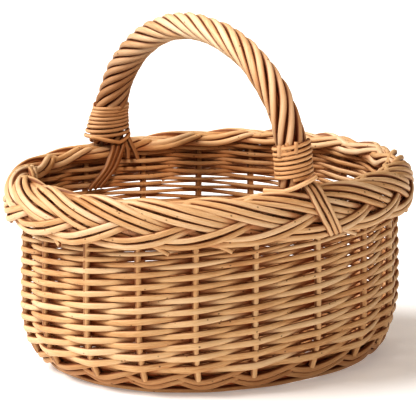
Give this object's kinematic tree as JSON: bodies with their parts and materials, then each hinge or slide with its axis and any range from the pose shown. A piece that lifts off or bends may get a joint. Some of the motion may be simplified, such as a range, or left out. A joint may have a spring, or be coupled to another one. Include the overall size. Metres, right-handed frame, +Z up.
{
  "type": "wicker basket",
  "caption": "Oval woven willow shopping basket with upright stakes, randed sides, a thick plaited border and a fixed roped bow handle.",
  "frame": {"origin": "centre of the underside, on the surface that the basket stands on", "axes": "+X along the long axis of the oval, +Y along the short axis, which the handle crosses, +Z up"},
  "size_m": [0.432, 0.3571, 0.3533],
  "materials": {
    "stakes": "satin peeled willow, in the shade of the weave",
    "siding": "satin buff willow with fine streaks and small dark knots",
    "base": "satin buff willow, slightly darker",
    "border": "satin buff willow, pale on top",
    "handle_rope": "satin buff willow, polished by handling",
    "bindings": "satin thin willow rod"
  },
  "bodies": {
    "root": {"stake_01": "stakes", "stake_02": "stakes", "stake_03": "stakes", "stake_04": "stakes", "stake_05": "stakes", "stake_06": "stakes", "stake_07": "stakes", "stake_08": "stakes", "stake_09": "stakes", "stake_10": "stakes", "stake_11": "stakes", "stake_12": "stakes", "stake_13": "stakes", "stake_14": "stakes", "stake_15": "stakes", "stake_16": "stakes", "stake_17": "stakes", "stake_18": "stakes", "stake_19": "stakes", "siding_rod_01": "siding", "siding_rod_02": "siding", "siding_rod_03": "siding", "siding_rod_04": "siding", "siding_rod_05": "siding", "siding_rod_06": "siding", "siding_rod_07": "siding", "siding_rod_08": "siding", "siding_rod_09": "siding", "siding_rod_10": "siding", "siding_rod_11": "siding", "siding_rod_12": "siding", "siding_rod_13": "siding", "siding_rod_14": "siding", "siding_rod_15": "siding", "siding_rod_16": "siding", "siding_rod_17": "siding", "siding_rod_18": "siding", "siding_rod_19": "siding", "bottom_wale": "base", "base_weave": "base", "base_slath": "base", "plaited_border": "border", "handle_bow": "stakes", "handle_strand_1": "handle_rope", "handle_strand_2": "handle_rope", "handle_strand_3": "handle_rope", "handle_strand_4": "handle_rope", "handle_strand_5": "handle_rope", "handle_strand_6": "handle_rope", "handle_strand_7": "handle_rope", "handle_strand_8": "handle_rope", "handle_tail_front": "handle_rope", "handle_tail_back": "handle_rope", "handle_binding_front": "bindings", "handle_binding_back": "bindings"}
  },
  "joints": []
}
